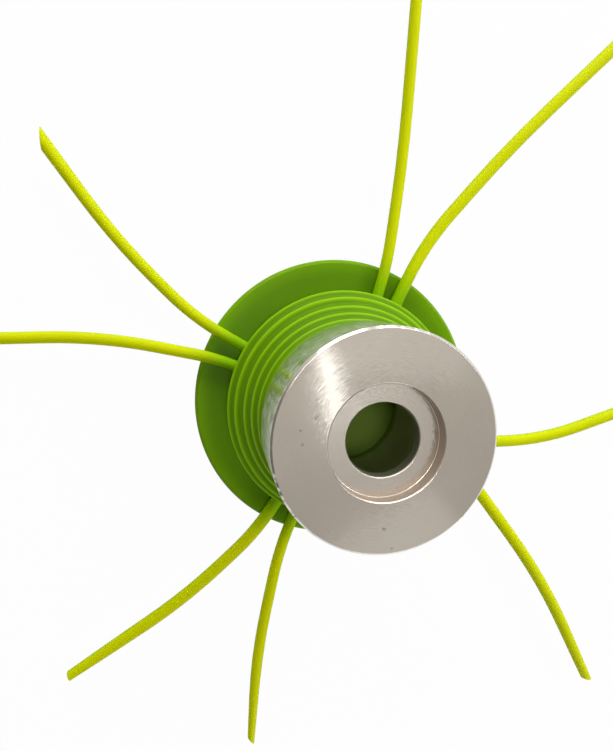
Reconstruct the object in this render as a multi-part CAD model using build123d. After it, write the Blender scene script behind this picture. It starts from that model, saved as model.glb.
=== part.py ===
from build123d import *
from math import radians, tan
import os

# Trimmer head: a turned aluminium cup on a moulded nylon body that carries four cutting lines.
# Millimetres. The head stands on its flange: z = 0 is the flange's flat underside, and the
# axis is +Z, towards the turned face that meets the gearbox. Each line is folded round a tongue
# inside the body and leaves it as two free arms, so eight ends stand out in four pairs.

# Whole head
overall_height = 63.0

# Aluminium cup
cup_radius = 30.0
cup_length = 22.5
arbor_hole_radius = 10.0
recess_radius = 15.5
recess_depth = 4.0
plate_thickness = 4.0
skirt_bore_radius = 24.0
outer_chamfer = 0.6
edge_break = 0.3

# Body: spigot, and the hollow behind the arbor hole
thread_clearance = 0.3
spigot_end_gap = 0.6
hollow_radius = 16.0
hollow_floor_height = 18.0

# Body: barrel, ribs and neck
barrel_radius = 28.6
first_rib_drop = 11.0
rib_pitch = 3.55
rib_radii = [29.8, 31.5, 33.5, 36.1, 38.2]
rib_height = 1.3
rib_crown_half_width = 0.3
neck_radius = 36.0

# Body: flange, and the ring-shaped recess round a centre boss in its underside
flange_radius = 48.5
flange_thickness = 3.2
flange_rim_chamfer = 1.0
centre_boss_radius = 5.0
underside_recess_radius = 11.0
hollow_floor_thickness = 4.0

# Cutting lines, and the pockets, tongues and ports that hold them
line_diameter = 4.0
line_height = 6.6
line_clearance = 0.3
loop_centre_radius = 22.0
loop_half_width = 4.6
loop_bend_radius = 4.2
port_bend_radius = 15.0
arm_bend_radius = 90.0
bend_room = 0.47
line_sides = 8
tongue_clearance = 0.6
tongue_tail_radius = 31.0
tongue_tail_half_width = 1.0
port_offset = 3.1
port_throat_clearance = 0.5
port_sides = 10
port_taper = 5.0
port_overrun = 0.5
port_wall = 3.5
pocket_roof_clearance = 0.6

# Core-outs that keep the moulding's walls even, between the pockets
core_slot_inner_radius = 20.0
core_slot_outer_radius = 26.0
core_slot_inner_half_width = 3.0
core_slot_outer_half_width = 5.5
core_slot_height = 28.0

# A small nick in the last rib, beside one line
nick_radius = 0.8
nick_angle = 181.0

# The free arms of each line, seen from above with the pair's own direction as x, counted from
# the neck: two bends and the cut end, then the cut's slant in degrees and the side it leaves bare
line_arms = {
    0: (
        ([(11.3, 5.3), (41.6, 19.6), (69, 45.4)], 40, 1),
        ([(20.7, -4), (70.6, -28.9), (111.9, -59.7)], 54, -1),
    ),
    90: (
        ([(14, 6.1), (47.6, 17.5), (96.5, 38)], 40, 1),
        ([(25.3, -2.7), (67.3, -14.4), (119, -34.1)], 40, -1),
    ),
    180: (
        ([(9.2, 4.2), (44, 13.1), (85.7, 34.4)], 40, 1),
        ([(20.2, -5.1), (51.4, -16.4), (83.9, -35.2)], 22, 1),
    ),
    270: (
        ([(19.5, 4.5), (58.2, 14.3), (92.4, 28.3)], 45, -1),
        ([(17.3, -6), (47.8, -18.1), (88.1, -42.8)], 75, -1),
    ),
}

# Worked-out sizes
line_radius = line_diameter / 2
shoulder_height = overall_height - cup_length
first_rib_height = shoulder_height - first_rib_drop
last_rib_height = first_rib_height - rib_pitch * (len(rib_radii) - 1)
recess_floor = overall_height - recess_depth
plate_underside = recess_floor - plate_thickness
port_throat_radius = line_radius + port_throat_clearance
pocket_face_radius = neck_radius - port_wall
pocket_half_width = loop_half_width + line_radius + line_clearance
pocket_roof = line_height + line_radius + pocket_roof_clearance
tongue_nose_radius = loop_half_width - line_radius - tongue_clearance
pair_angles = sorted(line_arms)


def turned(corners):
    """A solid of revolution about Z, from its outline's corners as (radius, height)."""
    outline = Polyline(*corners, close=True)
    return revolve(Plane.XZ * make_face(outline), Axis.Z)


def aluminium_cup():
    """One turning: a face with a stepped recess, a thin plate with the arbor hole, and a skirt."""
    return turned([
        (arbor_hole_radius, plate_underside),
        (skirt_bore_radius, plate_underside),
        (skirt_bore_radius, shoulder_height),
        (cup_radius, shoulder_height),
        (cup_radius, overall_height - outer_chamfer),
        (cup_radius - outer_chamfer, overall_height),
        (recess_radius + edge_break, overall_height),
        (recess_radius, overall_height - edge_break),
        (recess_radius, recess_floor),
        (arbor_hole_radius + edge_break, recess_floor),
        (arbor_hole_radius, recess_floor - edge_break),
    ])


def rib_corners():
    """The flared side from neck to barrel: narrow crowned ribs with a wide groove above each."""
    crests = [Vector(r, first_rib_height - i * rib_pitch) for i, r in enumerate(rib_radii)][::-1]
    following = crests[1:] + [Vector(barrel_radius, first_rib_height + rib_pitch)]
    corners = []
    for crest, next_crest in zip(crests, following):
        flare = (next_crest - crest).normalized()
        crown = flare * rib_crown_half_width
        groove = (crest + next_crest) / 2 - Vector(flare.Y, -flare.X) * rib_height
        corners += [crest - crown, crest + crown, groove]
    return [(corner.X, corner.Y) for corner in corners]


def body_blank():
    """The moulding before its pockets: flange, neck, ribs, barrel, spigot and hollow."""
    spigot_radius = skirt_bore_radius - thread_clearance
    spigot_top = plate_underside - spigot_end_gap
    underside_recess_top = hollow_floor_height - hollow_floor_thickness
    return turned([
        (0, 0),
        (centre_boss_radius, 0),
        (centre_boss_radius, underside_recess_top),
        (underside_recess_radius, underside_recess_top),
        (underside_recess_radius, 0),
        (flange_radius - flange_rim_chamfer, 0),
        (flange_radius, flange_rim_chamfer),
        (flange_radius, flange_thickness - flange_rim_chamfer),
        (flange_radius - flange_rim_chamfer, flange_thickness),
        (neck_radius, flange_thickness),
        (neck_radius, last_rib_height - rib_pitch / 2),
        *rib_corners(),
        (barrel_radius, first_rib_height + rib_pitch),
        (barrel_radius, shoulder_height),
        (spigot_radius, shoulder_height),
        (spigot_radius, spigot_top),
        (hollow_radius, spigot_top),
        (hollow_radius, hollow_floor_height),
        (0, hollow_floor_height),
    ])


def keyhole(nose_radius, end_radius, end_half_width):
    """A flat shape from a round nose at the loop's centre, tapering out to a given radius."""
    taper = Polygon(
        (loop_centre_radius, -nose_radius),
        (end_radius, -end_half_width),
        (end_radius, end_half_width),
        (loop_centre_radius, nose_radius),
        align=None,
    )
    return taper + Pos(loop_centre_radius, 0) * Circle(nose_radius)


def loop_pocket():
    """The room for one folded line, open below, with the tongue that the line goes round."""
    room = extrude(keyhole(pocket_half_width, pocket_face_radius, pocket_half_width), pocket_roof)
    tongue = extrude(keyhole(tongue_nose_radius, tongue_tail_radius, tongue_tail_half_width), pocket_roof)
    return room - tongue


def port(side):
    """One hole through the neck for a line, wider towards its mouth."""
    start = Plane(
        origin=(pocket_face_radius - port_overrun, side * port_offset, line_height), z_dir=(1, 0, 0)
    )
    throat = start * RegularPolygon(port_throat_radius, port_sides)
    return extrude(throat, port_wall + 2 * port_overrun, taper=-port_taper)


def core_slot():
    """A deep wedge-shaped slot from below, between two pockets."""
    outline = Polygon(
        (core_slot_inner_radius, -core_slot_inner_half_width),
        (core_slot_outer_radius, -core_slot_outer_half_width),
        (core_slot_outer_radius, core_slot_outer_half_width),
        (core_slot_inner_radius, core_slot_inner_half_width),
        align=None,
    )
    return Rot(0, 0, 45) * extrude(outline, core_slot_height)


def line_body():
    """The nylon moulding that carries the lines."""
    body = body_blank()
    for angle in pair_angles:
        body -= Rot(0, 0, angle) * (loop_pocket() + port(1) + port(-1))
        body -= Rot(0, 0, angle) * core_slot()
    nick_place = Pos(rib_radii[-1] + nick_radius / 2, 0, last_rib_height)
    body -= Rot(0, 0, nick_angle) * nick_place * Cylinder(nick_radius, 4 * nick_radius)
    return body


def end_cut(tip, before, slant, side):
    """The block that trims an arm's end on a slant, leaving its point on the other side."""
    heading = (tip - before).normalized()
    left = Vector(0, 0, 1).cross(heading)
    point = tip - left * side * line_radius
    slope = (heading * -1).rotate(Axis.Z, -side * slant)
    size = 3 * line_diameter
    block = Box(3 * size, size, size, align=(Align.CENTER, Align.MIN, Align.CENTER))
    return Plane(origin=point, x_dir=slope, z_dir=(0, 0, -side)) * block


def bend_radii(points, limits):
    """The radius at each bend: as large as its two straight runs have room for, up to its limit."""
    radii = []
    for before, corner, after, limit in zip(points, points[1:], points[2:], limits):
        inward = corner - before
        outward = after - corner
        half_turn = radians(inward.get_angle(outward) / 2)
        room = bend_room * min(inward.length, outward.length)
        radii.append(min(limit, room / tan(half_turn)))
    return radii


def cutting_line(angle):
    """One line: folded round its tongue, out through two ports, with both ends cut on a slant."""
    (left_arm, left_slant, left_side), (right_arm, right_slant, right_side) = line_arms[angle]
    loop_end = loop_centre_radius - loop_half_width
    left_half = [(neck_radius + x, y) for x, y in left_arm[::-1]]
    left_half += [(pocket_face_radius, port_offset), (loop_end, loop_half_width)]
    right_half = [(loop_end, -loop_half_width), (pocket_face_radius, -port_offset)]
    right_half += [(neck_radius + x, y) for x, y in right_arm]
    points = [Vector(x, y, line_height) for x, y in left_half + right_half]
    half_limits = [arm_bend_radius, arm_bend_radius, port_bend_radius, loop_bend_radius]
    radii = bend_radii(points, half_limits + half_limits[::-1])
    path = FilletPolyline(*points, radius=radii)
    start = Plane(origin=path @ 0, z_dir=path % 0)
    line = sweep(start * RegularPolygon(line_radius, line_sides), path)
    line -= end_cut(points[0], points[1], left_slant, left_side)
    line -= end_cut(points[-1], points[-2], right_slant, right_side)
    print("line at", angle, "length", round(path.length, 1), "radii", [round(r, 1) for r in radii])
    return Rot(0, 0, angle) * line


os.makedirs("parts", exist_ok=True)
nodes = {"aluminium_cup": aluminium_cup(), "line_body": line_body()}
for number, angle in enumerate(pair_angles, start=1):
    nodes[f"cutting_line_{number}"] = cutting_line(angle)
for name, solid in nodes.items():
    solid.label = name
    export_step(solid, f"parts/{name}.step")
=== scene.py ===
"""Looks of a trimmer head: turned aluminium cup, ribbed green nylon body, yellow-green lines."""

from bisect import bisect_right
from math import atan2, ceil, cos, inf, pi, radians, sin, tan

import bmesh
import bpy
from mathutils import Color, Euler, Matrix, Vector
from mathutils.geometry import tessellate_polygon


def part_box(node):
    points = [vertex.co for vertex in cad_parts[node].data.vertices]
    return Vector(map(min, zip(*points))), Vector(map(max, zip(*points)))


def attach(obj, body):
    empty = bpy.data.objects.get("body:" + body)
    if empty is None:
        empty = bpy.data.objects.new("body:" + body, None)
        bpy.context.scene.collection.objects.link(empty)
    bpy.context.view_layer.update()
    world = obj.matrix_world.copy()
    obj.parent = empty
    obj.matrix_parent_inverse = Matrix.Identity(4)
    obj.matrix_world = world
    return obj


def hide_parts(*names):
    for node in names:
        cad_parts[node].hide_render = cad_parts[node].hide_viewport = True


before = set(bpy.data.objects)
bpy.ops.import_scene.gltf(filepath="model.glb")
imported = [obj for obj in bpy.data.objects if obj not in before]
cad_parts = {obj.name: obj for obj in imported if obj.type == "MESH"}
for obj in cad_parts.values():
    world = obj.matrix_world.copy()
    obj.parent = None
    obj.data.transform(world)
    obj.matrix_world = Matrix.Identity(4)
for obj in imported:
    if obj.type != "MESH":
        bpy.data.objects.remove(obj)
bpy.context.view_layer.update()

mm = 0.001

# Places that come from the frame
cup_low, cup_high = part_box("aluminium_cup")
spigot_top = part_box("line_body")[1].z
face_height = cup_high.z
shoulder_height = cup_low.z

# Cup
cup_radius = 30 * mm
arbor_hole_radius = 10 * mm
recess_radius = 15.5 * mm
recess_depth = 4 * mm
plate_thickness = 4 * mm
recess_floor = face_height - recess_depth
plate_underside = recess_floor - plate_thickness
skirt_bore_radius = 24 * mm
outer_chamfer = 0.6 * mm
edge_break = 0.3 * mm

# Body
thread_clearance = 0.3 * mm
spigot_radius = skirt_bore_radius - thread_clearance
hollow_radius = 16 * mm
hollow_floor_height = 18 * mm
hollow_floor_thickness = 4 * mm
barrel_radius = 28.6 * mm
first_rib_drop = 11 * mm
first_rib_height = shoulder_height - first_rib_drop
rib_pitch = 3.55 * mm
rib_radii = [29.8 * mm, 31.5 * mm, 33.5 * mm, 36.1 * mm, 38.2 * mm]
rib_height = 1.3 * mm
rib_crown_half_width = 0.3 * mm
last_rib_height = first_rib_height - rib_pitch * (len(rib_radii) - 1)
neck_radius = 36 * mm
flange_radius = 48.5 * mm
flange_thickness = 3.2 * mm
flange_rim_chamfer = 1 * mm
centre_boss_radius = 5 * mm
underside_recess_radius = 11 * mm
underside_recess_top = hollow_floor_height - hollow_floor_thickness

# Lines, and the pockets, tongues and ports that hold them
line_radius = 2 * mm
line_height = 6.6 * mm
line_clearance = 0.3 * mm
loop_centre_radius = 22 * mm
loop_half_width = 4.6 * mm
loop_bend_radius = 3.9 * mm
port_bend_radius = 15 * mm
bend_room = 0.47
port_wall = 3.5 * mm
pocket_face_radius = neck_radius - port_wall
pocket_half_width = loop_half_width + line_radius + line_clearance
pocket_roof_clearance = 0.6 * mm
pocket_roof = line_height + line_radius + pocket_roof_clearance
tongue_clearance = 0.6 * mm
tongue_nose_radius = loop_half_width - line_radius - tongue_clearance
tongue_tail_radius = 31 * mm
tongue_tail_half_width = 1 * mm
port_offset = 3.1 * mm
port_throat_clearance = 0.5 * mm
port_throat_radius = line_radius + port_throat_clearance
port_mouth_radius = 2.9 * mm
port_overrun = 0.5 * mm
core_slot_inner_radius = 20 * mm
core_slot_outer_radius = 26 * mm
core_slot_inner_half_width = 3 * mm
core_slot_outer_half_width = 5.5 * mm
core_slot_height = 28 * mm

# The free arms: two bends and the cut end in mm, counted from the neck with the pair's own direction
# as x, the cut's slant in degrees and the side it leaves bare, and the line's thickness along the arm
# and at its worn end, as shares of its full thickness
line_arms = {
    0: (
        ([(11.3, 5.3), (41.6, 19.6), (69, 45.4)], 40, 1, 1.05, 1.08),
        ([(20.7, -4), (70.6, -28.9), (111.9, -59.7)], 54, -1, 1.08, 0.9),
    ),
    90: (
        ([(14, 6.1), (47.6, 17.5), (96.5, 38)], 40, 1, 0.94, 0.94),
        ([(25.3, -2.7), (67.3, -14.4), (118.8, -34)], 40, -1, 1.05, 1.08),
    ),
    180: (
        ([(9.2, 4.2), (44, 13.1), (85.7, 34.4)], 40, 1, 0.95, 0.95),
        ([(20.2, -5.1), (51.4, -16.4), (84.5, -34.8)], 34, 1, 0.92, 0.98),
    ),
    270: (
        ([(19.5, 4.5), (58.2, 14.3), (91.9, 28.1)], 45, -1, 0.97, 0.62),
        ([(17.3, -6), (47.8, -18.1), (88.1, -42.8)], 75, -1, 1.08, 0.8),
    ),
}

# How far the wear reaches from a line's end, and how late in that stretch it sets in (1 is evenly)
worn_length = 35 * mm
wear_delay = 1.5

# How finely the meshes are drawn
around_steps = 192
rod_steps = 28
port_steps = 32
ring_spacing = 0.8 * mm
merge_distance = 0.002 * mm
arc_step = radians(12)
route_step = radians(2)

# Tool marks on the cup. One turn round the axis follows a circle of this radius in the pattern, so a
# smaller one draws longer marks; the slopes say how steep the marks are.
mark_arc = 1.5 * mm
face_mark_slope = 0.08
recess_mark_slope = 0.4
side_mark_slope = 0.9

# Small pits in the cup's face (x, y and size in mm)
pits = [(9.5, -20.5, 0.8), (14, -24.5, 0.6), (-20, -1.5, 0.7), (-20, -9, 0.6), (-22, -6, 0.5)]

# Fineness of each finish's patterns, per metre
tool_marks = 8000
pit_specks = 4000
metal_clouds = 60
body_clouds = 35
body_grain = 2500
line_clouds = 45
line_grain = 900

# Colours, in screen levels of 0 to 255
metal = (205, 200, 192)
bright_metal = (232, 228, 220)
# painted shade: darker, browner metal for the shade on the washer recess's wall
recess_wall_shaded_metal = (176, 162, 148)
# painted shade and painted green reflection: dark green-grey metal for the arbor hole's wall
bore_shade_and_reflection_metal = (146, 150, 130)
pit_metal = (110, 102, 94)
body_green = (92, 138, 0)
body_light_green = (102, 148, 2)
# painted light: paler green for painted highlights on the rib crests and a lighter flange rim and
# barrel
painted_highlight_green = (166, 222, 4)
# painted light: paler, greyer colours in the hollow stand in for light bounced into it, with the wall
# nearly white
hollow_floor_painted_light_green = (134, 162, 66)
hollow_wall_painted_light_green = (205, 208, 165)
line_yellow = (203, 213, 0)
line_light_yellow = (213, 220, 0)
# painted shade: greener, darker flanks under the line's lit yellow crown
line_flank_painted_shade_green = (176, 208, 0)
# painted light: green from the flange beneath, painted onto the lines near the body
line_painted_flange_green = (136, 190, 0)

# Where the painted green light from the flange on the lines gives way to their own yellow, counted from
# the axis
line_green_until = 38 * mm
line_yellow_from = 57 * mm

# Lamps: azimuth and elevation in degrees, distance and size in metres, and power in watts. The last
# two are too faint to light anything, and only give the turned face a glow to mirror.
lamps = [
    (90, 22, 0.9, 0.5, 3.6),
    (131, 22, 0.9, 0.5, 3.7),
    (315, 22, 0.9, 0.5, 2.0),
    (10, 22, 0.9, 0.5, 1.2),
    (50, 40, 0.9, 0.3, 1.5),
    (150, 82, 0.9, 0.2, 1.4),
    (26, 72, 0.9, 0.22, 0.022),
    (328, 56, 0.9, 0.25, 0.034),
]
lamps_aim = (0, 0, 30 * mm)

# The window that the turned face mirrors as a streak: its distance and size in metres, its power, the
# point of the face that it is seen at (mm), the way from there to it, and the way that it is long
window_distance = 0.6
window_size = (0.12, 0.014)
window_power = 0.0145
window_seen_at = (-18.9, 5.6)
window_way = (0.2714, -0.0616, 0.9605)
window_length_way = (7.8, -9.6, 0)

# The room: its light, and how metal sees it, brighter to one side and darker low down on the others
room_colour = (1, 0.93, 0.85, 1)
room_light = 0.12
room_seen_in_metal = 0.6
room_slant = 0.5
room_low_darkness = 0.65
low_span = (0.2, 0.7)
bright_way = (-0.5, 0.866, 0)
bright_span = (0.3, 0.9)

# The floor
floor_reach = 1.5
floor_drop = 0.2 * mm
floor_whiteness = 0.97
paper_grey = (0.8, 0.8, 0.8, 1)
white = (1, 1, 1, 1)

# The camera: its place, its turn about X, Y and Z in degrees, its sensor and focal length in mm, and
# its shift as a share of the picture's width
camera_place = (-58.15 * mm, 14.52 * mm, 201.94 * mm)
camera_turn = (-8.951, -10.672, 26.563)
sensor_width = 36
focal_length = 34.65
shift_x = -0.0106
shift_y = 0.0090
clip_start = 5 * mm


# Outlines and meshes

def rounded(corners, closed=True, step=arc_step):
    """The points of an outline whose corners (x, y, radius) are turned into arcs."""
    points = []
    for i, (x, y, radius) in enumerate(corners):
        corner = Vector((x, y))
        at_end = not closed and i in (0, len(corners) - 1)
        if radius == 0 or at_end:
            points.append(corner)
            continue
        inward = (corner - Vector(corners[i - 1][:2])).normalized()
        outward = (Vector(corners[(i + 1) % len(corners)][:2]) - corner).normalized()
        turn = atan2(inward.cross(outward), inward.dot(outward))
        side = 1 if turn > 0 else -1
        start = corner - inward * radius * tan(abs(turn) / 2)
        centre = start + Vector((-inward.y, inward.x)) * side * radius
        steps = max(2, ceil(abs(turn) / step))
        for k in range(steps + 1):
            points.append(centre + Matrix.Rotation(turn * k / steps, 2) @ (start - centre))
    return points


def turned(corners):
    """A solid of revolution about Z, from its outline's corners (radius, height, rounding)."""
    outline = rounded(corners)
    work = bmesh.new()
    columns = []
    for step in range(around_steps):
        angle = 2 * pi * step / around_steps
        columns.append([work.verts.new((p.x * cos(angle), p.x * sin(angle), p.y)) for p in outline])
    for column, next_column in zip(columns, columns[1:] + columns[:1]):
        for i, point in enumerate(outline):
            j = (i + 1) % len(outline)
            if point.x > 0 or outline[j].x > 0:
                work.faces.new((column[i], next_column[i], next_column[j], column[j]))
    bmesh.ops.remove_doubles(work, verts=work.verts, dist=merge_distance)
    return work


def prism(outlines, bottom, top, turn):
    """A block between two heights: the first outline bounds it, and the others are left out."""
    work = bmesh.new()
    spin = Matrix.Rotation(turn, 4, "Z")
    triangles = tessellate_polygon([[(p.x, p.y, 0) for p in outline] for outline in outlines])
    levels = []
    for height in (bottom, top):
        rings = [
            [work.verts.new(spin @ Vector((p.x, p.y, height))) for p in outline]
            for outline in outlines
        ]
        flat = [vert for ring in rings for vert in ring]
        for triangle in triangles:
            work.faces.new([flat[i] for i in triangle])
        levels.append(rings)
    for low_ring, high_ring in zip(*levels):
        for i, vert in enumerate(low_ring):
            j = (i + 1) % len(low_ring)
            work.faces.new((vert, low_ring[j], high_ring[j], high_ring[i]))
    return work


def as_object(name, *works):
    """One object from one or more bmeshes."""
    mesh = bpy.data.meshes.new(name)
    whole = bmesh.new()
    for work in works:
        work.to_mesh(mesh)
        work.free()
        whole.from_mesh(mesh)
    bmesh.ops.recalc_face_normals(whole, faces=whole.faces)
    whole.to_mesh(mesh)
    whole.free()
    made = bpy.data.objects.new(name, mesh)
    bpy.context.collection.objects.link(made)
    return made


def cut_out(blank, *cutters):
    """The blank with the cutters taken out of it; the cutters are used up."""
    for cutter in cutters:
        step = blank.modifiers.new(cutter.name, "BOOLEAN")
        step.operation = "DIFFERENCE"
        step.solver = "EXACT"
        step.use_self = True
        step.object = cutter
    graph = bpy.context.evaluated_depsgraph_get()
    cut_mesh = bpy.data.meshes.new_from_object(blank.evaluated_get(graph))
    blank.modifiers.clear()
    blank.data = cut_mesh
    for cutter in cutters:
        bpy.data.objects.remove(cutter)


def dress(made, finish, node, sharp_angle):
    """Shading, finish and place in the part for a finished object that stands for a node."""
    made.data.shade_smooth()
    made.data.set_sharp_from_angle(angle=radians(sharp_angle))
    even = made.modifiers.new("even_shading", "WEIGHTED_NORMAL")
    even.keep_sharp = True
    made.data.materials.append(finish)
    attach(made, "root")
    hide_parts(node)


# Pieces

def turned_cup(finish):
    """The cup's face, washer recess, arbor hole and skirt, with lightly broken edges."""
    tool_round = 0.12 * mm
    corner_round = 0.25 * mm
    made = as_object("turned_cup", turned([
        (arbor_hole_radius, plate_underside, tool_round),
        (skirt_bore_radius, plate_underside, tool_round),
        (skirt_bore_radius, shoulder_height, tool_round),
        (cup_radius, shoulder_height, tool_round),
        (cup_radius, face_height - outer_chamfer, tool_round),
        (cup_radius - outer_chamfer, face_height, tool_round),
        (recess_radius + edge_break, face_height, tool_round),
        (recess_radius, face_height - edge_break, tool_round),
        (recess_radius, recess_floor, corner_round),
        (arbor_hole_radius + edge_break, recess_floor, tool_round),
        (arbor_hole_radius, recess_floor - edge_break, tool_round),
    ]))
    dress(made, finish, "aluminium_cup", sharp_angle=50)


def rib_corners():
    """The flared side from neck to barrel: crowned ribs with a wide hollow groove above each."""
    crown_round = 0.28 * mm
    groove_round = 1.5 * mm
    heights = [first_rib_height - i * rib_pitch for i in range(len(rib_radii))]
    crests = [Vector(crest) for crest in zip(rib_radii, heights)][::-1]
    following = crests[1:] + [Vector((barrel_radius, first_rib_height + rib_pitch))]
    corners = []
    for crest, next_crest in zip(crests, following):
        flare = (next_crest - crest).normalized()
        crown = flare * rib_crown_half_width
        groove = (crest + next_crest) / 2 - Vector((flare.y, -flare.x)) * rib_height
        corners += [(*(crest - crown), crown_round), (*(crest + crown), crown_round)]
        corners += [(*groove, groove_round)]
    return corners


def pair_outlines():
    """The outlines of one pair's room and of the tongue that stands in it, along +X."""
    round_share = 0.95
    room_end = loop_centre_radius - pocket_half_width
    room_round = round_share * pocket_half_width
    room = rounded([
        (room_end, -pocket_half_width, room_round),
        (pocket_face_radius, -pocket_half_width, 0),
        (pocket_face_radius, pocket_half_width, 0),
        (room_end, pocket_half_width, room_round),
    ])
    nose = loop_centre_radius - tongue_nose_radius
    nose_round = round_share * tongue_nose_radius
    tongue = rounded([
        (nose, -tongue_nose_radius, nose_round),
        (tongue_tail_radius, -tongue_tail_half_width, 0),
        (tongue_tail_radius, tongue_tail_half_width, 0),
        (nose, tongue_nose_radius, nose_round),
    ])
    return [room, tongue]


def port(turn, side):
    """The tapered hole for one arm of a line."""
    depth = port_wall + 2 * port_overrun
    work = bmesh.new()
    middle = Vector(((neck_radius + pocket_face_radius) / 2, side * port_offset, line_height))
    place = Matrix.Rotation(turn, 4, "Z") @ Matrix.Translation(middle)
    place @= Matrix.Rotation(pi / 2, 4, "Y")
    bmesh.ops.create_cone(
        work, cap_ends=True, segments=port_steps, radius1=port_throat_radius,
        radius2=port_mouth_radius, depth=depth, matrix=place,
    )
    return work


def ribbed_body(finish):
    """The moulding: flange, neck, ribs, barrel, spigot and hollow, with pockets, ports and slots."""
    edge = 0.3 * mm
    soft_edge = 0.8 * mm
    rim_top_edge = 0.6 * mm
    neck_top_edge = 0.5 * mm
    blank = as_object("ribbed_body", turned([
        (0, 0, 0),
        (centre_boss_radius, 0, edge),
        (centre_boss_radius, underside_recess_top, edge),
        (underside_recess_radius, underside_recess_top, edge),
        (underside_recess_radius, 0, edge),
        (flange_radius - flange_rim_chamfer, 0, edge),
        (flange_radius, flange_rim_chamfer, soft_edge),
        (flange_radius, flange_thickness - flange_rim_chamfer, soft_edge),
        (flange_radius - flange_rim_chamfer, flange_thickness, rim_top_edge),
        (neck_radius, flange_thickness, soft_edge),
        (neck_radius, last_rib_height - rib_pitch / 2, neck_top_edge),
        *rib_corners(),
        (barrel_radius, first_rib_height + rib_pitch, soft_edge),
        (barrel_radius, shoulder_height, edge),
        (spigot_radius, shoulder_height, edge),
        (spigot_radius, spigot_top, edge),
        (hollow_radius, spigot_top, edge),
        (hollow_radius, hollow_floor_height, edge),
        (0, hollow_floor_height, 0),
    ]))
    below = -1 * mm
    slot = rounded([
        (core_slot_inner_radius, -core_slot_inner_half_width, 0),
        (core_slot_outer_radius, -core_slot_outer_half_width, 0),
        (core_slot_outer_radius, core_slot_outer_half_width, 0),
        (core_slot_inner_radius, core_slot_inner_half_width, 0),
    ])
    turns = [radians(angle) for angle in sorted(line_arms)]
    rooms = [prism(pair_outlines(), below, pocket_roof, turn) for turn in turns]
    slots = [prism([slot], below, core_slot_height, turn + pi / 4) for turn in turns]
    ports = [port(turn, side) for turn in turns for side in (1, -1)]
    cut_out(blank, as_object("rooms", *rooms, *slots), as_object("ports", *ports))
    dress(blank, finish, "line_body", sharp_angle=40)


def route(angle):
    """The centre line of one line, seen from above in its pair's own direction."""
    (left_arm, *_), (right_arm, *_) = line_arms[angle]
    loop_end = loop_centre_radius - loop_half_width
    left = [Vector((neck_radius + x * mm, y * mm)) for x, y in left_arm[::-1]]
    left += [Vector((pocket_face_radius, port_offset)), Vector((loop_end, loop_half_width))]
    right = [Vector((loop_end, -loop_half_width)), Vector((pocket_face_radius, -port_offset))]
    right += [Vector((neck_radius + x * mm, y * mm)) for x, y in right_arm]
    points = left + right
    half_limits = [inf, inf, port_bend_radius, loop_bend_radius]
    limits = half_limits + half_limits[::-1]
    corners = [(*points[0], 0)]
    for before, corner, after, limit in zip(points, points[1:], points[2:], limits):
        inward = corner - before
        outward = after - corner
        room = bend_room * min(inward.length, outward.length)
        corners.append((*corner, min(limit, room / tan(inward.angle(outward) / 2))))
    corners.append((*points[-1], 0))
    return rounded(corners, closed=False, step=route_step)


def thickness(share_out, arm_share, end_share):
    """How thick an arm is, from the start of its worn stretch (0) to its end (1)."""
    worn = max(0, min(1, share_out)) ** wear_delay
    return arm_share + (end_share - arm_share) * worn


def rod(angle):
    """One line as a round rod along its route, worn thinner and cut on a slant at both ends."""
    centre_line = route(angle)
    reach = [0.0]
    for point, next_point in zip(centre_line, centre_line[1:]):
        reach.append(reach[-1] + (next_point - point).length)
    whole = reach[-1]

    def place(distance):
        """The point and the heading at a distance along the centre line."""
        i = min(bisect_right(reach, distance), len(reach) - 1) - 1
        run = centre_line[i + 1] - centre_line[i]
        return centre_line[i] + run.normalized() * (distance - reach[i]), run.normalized()

    left, right = line_arms[angle]
    _, left_slant, left_side, *left_shares = left
    _, right_slant, right_side, *right_shares = right
    start_slope = tan(radians(left_slant))
    end_slope = tan(radians(right_slant))
    work = bmesh.new()
    count = ceil(whole / ring_spacing)
    rings = []
    for k in range(count + 1):
        distance = whole * k / count
        if distance < whole / 2:
            radius = line_radius * thickness(1 - distance / worn_length, *left_shares)
        else:
            radius = line_radius * thickness(1 - (whole - distance) / worn_length, *right_shares)
        ring = []
        for step in range(rod_steps):
            turn = 2 * pi * step / rod_steps
            across = radius * cos(turn)
            first = (radius - left_side * across) / start_slope
            last = whole - (radius + right_side * across) / end_slope
            point, heading = place(min(max(distance, first), last))
            point = point + Vector((-heading.y, heading.x)) * across
            ring.append(work.verts.new((point.x, point.y, line_height + radius * sin(turn))))
        rings.append(ring)
    for ring, next_ring in zip(rings, rings[1:]):
        for i, vert in enumerate(ring):
            j = (i + 1) % rod_steps
            work.faces.new((vert, ring[j], next_ring[j], next_ring[i]))
    work.faces.new(rings[0][::-1])
    work.faces.new(rings[-1])
    bmesh.ops.remove_doubles(work, verts=work.verts, dist=merge_distance)
    bmesh.ops.rotate(work, verts=work.verts, matrix=Matrix.Rotation(radians(angle), 3, "Z"))
    return work


def cutting_lines(finish):
    """The four folded lines."""
    for number, angle in enumerate(sorted(line_arms), start=1):
        made = as_object(f"folded_line_{number}", rod(angle))
        dress(made, finish, f"cutting_line_{number}", sharp_angle=45)


# Finishes

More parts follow.
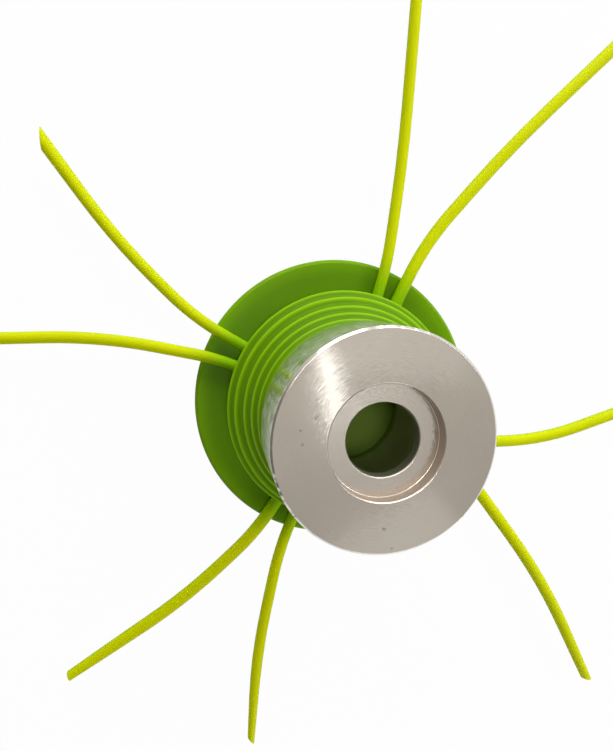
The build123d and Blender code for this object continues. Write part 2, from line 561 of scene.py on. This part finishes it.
class Value:
    """A socket in a finish; Python's operators on it add the Math nodes."""

    def __init__(self, finish, socket):
        self.finish = finish
        self.socket = socket

    def maths(self, operation, *values):
        return self.finish.add("ShaderNodeMath", {"operation": operation}, dict(enumerate(values)))

    def __add__(self, other):
        return self.maths("ADD", self, other)

    __radd__ = __add__

    def __sub__(self, other):
        return self.maths("SUBTRACT", self, other)

    def __rsub__(self, other):
        return self.maths("SUBTRACT", other, self)

    def __mul__(self, other):
        return self.maths("MULTIPLY", self, other)

    __rmul__ = __mul__

    def cosine(self):
        return self.maths("COSINE", self)

    def size(self):
        return self.maths("ABSOLUTE", self)

    def span(self, low, high):
        """0 below low, 1 above high, and a soft rise between them."""
        settings = {"interpolation_type": "SMOOTHSTEP"}
        return self.finish.add("ShaderNodeMapRange", settings, {0: self, 1: low, 2: high})


class Finish:
    """A node tree for one finish, and the one way in which nodes are added to it."""

    def __init__(self, owner):
        owner.use_nodes = True
        self.tree = owner.node_tree
        self.tree.nodes.clear()

    def add(self, kind, settings=None, inputs=None, output=0):
        node = self.tree.nodes.new(kind)
        for name, setting in (settings or {}).items():
            setattr(node, name, setting)
        for name, value in (inputs or {}).items():
            if isinstance(value, Value):
                self.tree.links.new(value.socket, node.inputs[name])
            else:
                node.inputs[name].default_value = value
        return Value(self, node.outputs[output]) if node.outputs else node

    def colour(self, factor, first, second):
        """The first colour, turning to the second as the factor goes from 0 to 1."""
        return self.add("ShaderNodeMix", {"data_type": "RGBA"}, {0: factor, 6: first, 7: second}, 2)

    def vector(self, operation, *values, output=0):
        settings = {"operation": operation}
        return self.add("ShaderNodeVectorMath", settings, dict(enumerate(values)), output)

    def place(self):
        """Where a point of the surface is in the part's own frame."""
        return self.add("ShaderNodeTexCoord", output="Object")

    def from_axis(self, place):
        """The arrow that runs level from the axis to a place."""
        return self.vector("MULTIPLY", place, (1, 1, 0))

    def length(self, arrow):
        return self.vector("LENGTH", arrow, output="Value")

    def upward(self, arrow):
        """The part of an arrow that runs along Z."""
        return self.add("ShaderNodeSeparateXYZ", None, {0: arrow}, "Z")

    def noise(self, place, scale):
        return self.add("ShaderNodeTexNoise", None, {"Vector": place, "Scale": scale, "Detail": 2.0})

    def bump(self, height, strength, distance):
        settings = {"Strength": strength, "Distance": distance, "Height": height}
        return self.add("ShaderNodeBump", None, settings)

    def surface(self, shader):
        self.add("ShaderNodeOutputMaterial", None, {"Surface": shader})


def new_finish(name):
    material = bpy.data.materials.new(name)
    return material, Finish(material)


def colour_of(levels):
    """Screen levels of 0 to 255 as the linear colour that a shader takes."""
    return (*Color([level / 255 for level in levels]).from_srgb_to_scene_linear(), 1)


def turned_aluminium():
    """Lathe-turned aluminium: fine ring-shaped tool marks that spread a highlight along a radius."""
    material, finish = new_finish("turned_aluminium")
    place = finish.place()
    from_axis = finish.from_axis(place)
    outward = finish.vector("NORMALIZE", from_axis)
    radius = finish.length(from_axis)
    height = finish.upward(place)
    normal = finish.add("ShaderNodeNewGeometry", output="Normal")
    turned_side = 1 - finish.upward(normal).size()
    side = turned_side * radius.span(cup_radius - 1 * mm, cup_radius - 0.4 * mm)
    around = finish.vector("CROSS_PRODUCT", (0, 0, 1), outward)
    across_marks = finish.vector("CROSS_PRODUCT", around, normal)
    arc = finish.vector("MULTIPLY", outward, (mark_arc, mark_arc, 0))
    travel = finish.add("ShaderNodeCombineXYZ", None, {"Z": radius + height})
    marks = finish.noise(finish.vector("ADD", arc, travel), tool_marks)
    in_recess = 1 - radius.span(recess_radius - 0.3 * mm, recess_radius)
    wall = 1 - radius.span(recess_radius + 0.3 * mm, recess_radius + 0.5 * mm)
    wall = wall * turned_side.span(0.05, 0.5)
    bore = wall * (1 - radius.span(arbor_hole_radius + 0.1 * mm, arbor_hole_radius + 0.3 * mm))
    floor = in_recess * (1 - turned_side)
    steepness = face_mark_slope + side * (side_mark_slope - face_mark_slope)
    steepness = steepness + floor * (recess_mark_slope - face_mark_slope)
    slope = (marks - 0.5) * steepness
    tilt = finish.add("ShaderNodeVectorMath", {"operation": "SCALE"}, {0: across_marks, "Scale": slope})
    tilted = finish.vector("NORMALIZE", finish.vector("ADD", normal, tilt))
    cloud = finish.noise(place, metal_clouds)
    tone = cloud * 0.5 + marks * 0.5
    colour = finish.colour(tone, colour_of(metal), colour_of(bright_metal))
    # painted shade: the recess wall takes darker, browner metal
    colour = finish.colour(wall, colour, colour_of(recess_wall_shaded_metal))
    # painted shade and painted green reflection of the body on the arbor hole's wall
    colour = finish.colour(bore, colour, colour_of(bore_shade_and_reflection_metal))
    pit_mask = 0
    for x, y, size in pits:
        gap = finish.vector("DISTANCE", place, (x * mm, y * mm, face_height), output="Value")
        pit_mask = pit_mask + (1 - gap.span(size * 0.2 * mm, size * mm))
    speckle = finish.noise(place, pit_specks).span(0.45, 0.62)
    pitted = finish.colour(pit_mask * speckle, colour, colour_of(pit_metal))
    finish.surface(finish.add("ShaderNodeBsdfPrincipled", None, {
        "Base Color": pitted,
        "Metallic": 1.0,
        "Roughness": 0.09 + cloud * 0.05 + wall * 0.5 + floor * 0.1 + side * 0.09,
        "Normal": tilted,
    }))
    return material


def green_nylon():
    """Semi-gloss leaf-green nylon with painted light: paler towards the flange rim and on the barrel,
    painted highlights on the rib crests, and paler, greyer colours in the hollow for light bounced into
    it.
    """
    material, finish = new_finish("green_nylon")
    place = finish.place()
    radius = finish.length(finish.from_axis(place))
    height = finish.upward(place)
    cloud = finish.noise(place, body_clouds)
    colour = finish.colour(cloud, colour_of(body_green), colour_of(body_light_green))
    # painted light in the hollow: its floor and wall take paler, greyer colours than the nylon
    hollow = 1 - radius.span(hollow_radius - 0.2 * mm, hollow_radius + 0.6 * mm)
    hollow = hollow * height.span(hollow_floor_height - 1 * mm, hollow_floor_height)
    inner_wall = height.span(hollow_floor_height + 1.5 * mm, hollow_floor_height + 6 * mm)
    hollow_painted_light = finish.colour(inner_wall, colour_of(hollow_floor_painted_light_green), colour_of(hollow_wall_painted_light_green))
    colour = finish.colour(hollow, colour, hollow_painted_light)
    outside = radius.span(barrel_radius - 1.5 * mm, barrel_radius - 1 * mm)
    ribs = 1 - height.span(first_rib_height, first_rib_height + rib_pitch)
    ribs = ribs * height.span(last_rib_height - rib_pitch, last_rib_height) * outside
    wave = ((height - first_rib_height) * (2 * pi / rib_pitch)).cosine()
    crests = wave.span(0.5, 1.0) * ribs
    rim = radius.span(flange_radius - 6 * mm, flange_radius)
    barrel = height.span(first_rib_height, first_rib_height + rib_pitch) * outside
    # painted light: painted highlights on the rib crests, and the flange rim and barrel painted lighter
    pale = finish.colour(crests * 0.55 + rim * 0.2 + barrel, colour, colour_of(painted_highlight_green))
    grain = finish.noise(place, body_grain)
    bump = finish.bump(grain, strength=0.05, distance=0.05 * mm)
    finish.surface(finish.add("ShaderNodeBsdfPrincipled", None, {
        "Base Color": pale,
        "Roughness": 0.36 + cloud * 0.1,
        "Specular IOR Level": 0.08,
        "Normal": bump,
        "Subsurface Weight": 0.15,
        "Subsurface Radius": (0.4, 1.0, 0.1),
        "Subsurface Scale": 1.5 * mm,
    }))
    return material


def line_nylon():
    """Slightly translucent yellow-green nylon line, with painted shade making it greener on its flanks,
    and painted green light from the flange near the body.
    """
    material, finish = new_finish("line_nylon")
    place = finish.place()
    radius = finish.length(finish.from_axis(place))
    facing_up = finish.upward(finish.add("ShaderNodeNewGeometry", output="Normal"))
    cloud = finish.noise(place, line_clouds)
    # painted light: the lines take the flange's green near the body and their own yellow further out
    free = radius.span(line_green_until, line_yellow_from)
    crown = finish.colour(cloud, colour_of(line_yellow), colour_of(line_light_yellow))
    # painted shade: the flanks turn greener and darker than the up-facing crown
    flanks = finish.colour(facing_up.span(-0.2, 0.7), colour_of(line_flank_painted_shade_green), crown)
    colour = finish.colour(free, colour_of(line_painted_flange_green), flanks)
    grain = finish.noise(place, line_grain)
    bump = finish.bump(grain, strength=0.02, distance=0.1 * mm)
    finish.surface(finish.add("ShaderNodeBsdfPrincipled", None, {
        "Base Color": colour,
        "Roughness": 0.35 + cloud * 0.1,
        "Specular IOR Level": 0.05,
        "Normal": bump,
        "Subsurface Weight": 0.4,
        "Subsurface Radius": (1.0, 1.0, 0.1),
        "Subsurface Scale": 2 * mm,
    }))
    return material


# Surroundings

def white_floor():
    """The floor: white to the camera and to reflections, and it keeps the part's shadow."""
    mesh = bpy.data.meshes.new("floor")
    work = bmesh.new()
    bmesh.ops.create_grid(work, x_segments=1, y_segments=1, size=floor_reach)
    work.to_mesh(mesh)
    work.free()
    floor = bpy.data.objects.new("floor", mesh)
    floor.location.z = -floor_drop
    bpy.context.collection.objects.link(floor)
    material, finish = new_finish("white_floor")
    camera_ray = finish.add("ShaderNodeLightPath", output="Is Camera Ray")
    glossy_ray = finish.add("ShaderNodeLightPath", output="Is Glossy Ray")
    paper = finish.add("ShaderNodeBsdfDiffuse", None, {"Color": paper_grey})
    glow = finish.add("ShaderNodeEmission", None, {"Color": white, "Strength": 1.0})
    share = camera_ray * floor_whiteness + glossy_ray
    finish.surface(finish.add("ShaderNodeMixShader", None, {0: share, 1: paper, 2: glow}))
    floor.data.materials.append(material)


def soft_light(name, place, aim, size, power):
    """A square softbox at a place, facing another place."""
    lamp = bpy.data.lights.new(name, "AREA")
    lamp.size = size
    lamp.energy = power
    made = bpy.data.objects.new(name, lamp)
    made.location = place
    made.rotation_euler = (aim - place).to_track_quat("-Z", "Y").to_euler()
    bpy.context.collection.objects.link(made)


def face_window():
    """A long narrow window that the turned face mirrors as one bright streak."""
    lamp = bpy.data.lights.new("face_window", "AREA")
    lamp.shape = "RECTANGLE"
    lamp.size, lamp.size_y = window_size
    lamp.energy = window_power
    made = bpy.data.objects.new("face_window", lamp)
    back = Vector(window_way).normalized()
    across = back.cross(Vector(window_length_way)).normalized()
    along = across.cross(back)
    made.rotation_euler = Matrix((along, across, back)).transposed().to_euler()
    x, y = window_seen_at
    made.location = Vector((x * mm, y * mm, face_height)) + back * window_distance
    bpy.context.collection.objects.link(made)


def studio():
    """A pale room, softboxes round the head and above it, and the window that the face mirrors."""
    world = bpy.data.worlds.new("studio")
    bpy.context.scene.world = world
    finish = Finish(world)
    camera_ray = finish.add("ShaderNodeLightPath", output="Is Camera Ray")
    glossy_ray = finish.add("ShaderNodeLightPath", output="Is Glossy Ray")
    colour = finish.colour(camera_ray, room_colour, white)
    way = finish.add("ShaderNodeTexCoord", output="Generated")
    slant = finish.vector("DOT_PRODUCT", way, bright_way, output="Value")
    low = 1 - finish.upward(way).span(*low_span)
    low = low * (1 - slant.span(*bright_span))
    seen = (1 + slant * room_slant) * (1 - low * room_low_darkness) * room_seen_in_metal
    strength = room_light + camera_ray * (1 - room_light) + glossy_ray * (seen - room_light)
    light = finish.add("ShaderNodeBackground", None, {"Color": colour, "Strength": strength})
    finish.add("ShaderNodeOutputWorld", None, {"Surface": light})
    for azimuth, elevation, distance, size, power in lamps:
        turn = radians(azimuth)
        rise = radians(elevation)
        outward = Vector((cos(turn) * cos(rise), sin(turn) * cos(rise), sin(rise)))
        soft_light("softbox", outward * distance, Vector(lamps_aim), size, power)
    face_window()


def camera():
    """The camera, held close above the turned face and a little to one side."""
    lens = bpy.data.cameras.new("camera")
    lens.sensor_fit = "HORIZONTAL"
    lens.sensor_width = sensor_width
    lens.lens = focal_length
    lens.shift_x = shift_x
    lens.shift_y = shift_y
    lens.clip_start = clip_start
    made = bpy.data.objects.new("camera", lens)
    made.location = camera_place
    made.rotation_euler = Euler([radians(turn) for turn in camera_turn], "XYZ")
    bpy.context.collection.objects.link(made)
    bpy.context.scene.camera = made


turned_cup(turned_aluminium())
ribbed_body(green_nylon())
cutting_lines(line_nylon())
white_floor()
studio()
camera()
bpy.context.scene.view_settings.view_transform = "Standard"
